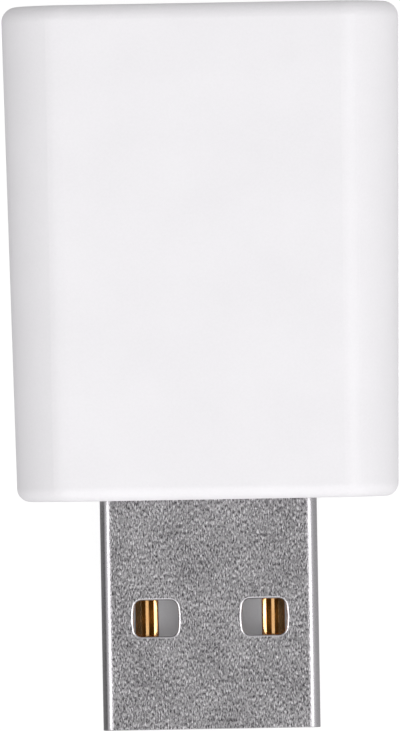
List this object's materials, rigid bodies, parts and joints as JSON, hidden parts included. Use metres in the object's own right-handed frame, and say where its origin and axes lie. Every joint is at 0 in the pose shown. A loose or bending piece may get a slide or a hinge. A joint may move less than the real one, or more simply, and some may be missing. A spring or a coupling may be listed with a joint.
{
  "type": "usb signal repeater",
  "caption": "Small plug-in radio repeater: a flat drafted white case with soft creases and round sides, and a folded steel plug with pierced windows at its narrow end.",
  "frame": {"origin": "middle of the footprint, on the surface that the flat rear face rests on", "axes": "+Z out of the front face, +Y towards the wide far end, -Y along the plug, +X to the right seen from the front"},
  "size_m": [0.022, 0.0402, 0.0095],
  "materials": {
    "case_plastic": "fine spark-eroded texture",
    "plug_steel": "tin-plated, finely mottled",
    "insulator_plastic": "moulded",
    "contact_gold": "gold plated, polished",
    "solder": "reflowed solder",
    "board_laminate": "solder mask on glass laminate",
    "copper": "etched copper under solder mask",
    "can_steel": "drawn and tinned",
    "black_epoxy": "moulded epoxy",
    "ceramic_brown": "fired ceramic",
    "light_lens": "clear moulded lens",
    "switch_nylon": "moulded"
  },
  "bodies": {
    "case": {"front_shell": "case_plastic", "rear_shell": "case_plastic", "plug_shell": "plug_steel", "plug_insulator": "insulator_plastic", "contact_power": "contact_gold", "contact_data_minus": "contact_gold", "contact_data_plus": "contact_gold", "contact_ground": "contact_gold", "plug_solder": "solder", "circuit_board": "board_laminate", "antenna_trace": "copper", "shield_can": "can_steel", "radio_chip": "black_epoxy", "crystal": "can_steel", "voltage_regulator": "black_epoxy", "regulator_leads": "solder", "input_capacitor": "ceramic_brown", "output_capacitor": "ceramic_brown", "chip_capacitor": "ceramic_brown", "crystal_capacitor": "ceramic_brown", "matching_inductor": "ceramic_brown", "led_resistor": "black_epoxy", "pull_up_resistor": "black_epoxy", "indicator_led": "light_lens", "switch_base": "black_epoxy", "switch_terminals": "solder", "switch_dome": "can_steel", "switch_cover": "can_steel"},
    "reset_plunger": {"switch_plunger": "switch_nylon"}
  },
  "joints": [
    {"name": "reset_press", "type": "slide", "parent": "case", "child": "reset_plunger", "axis": [0, 0, 1], "range_m": [0, 0.00025], "stiffness_N_per_m": 2000, "deforming": ["switch_dome"]}
  ]
}
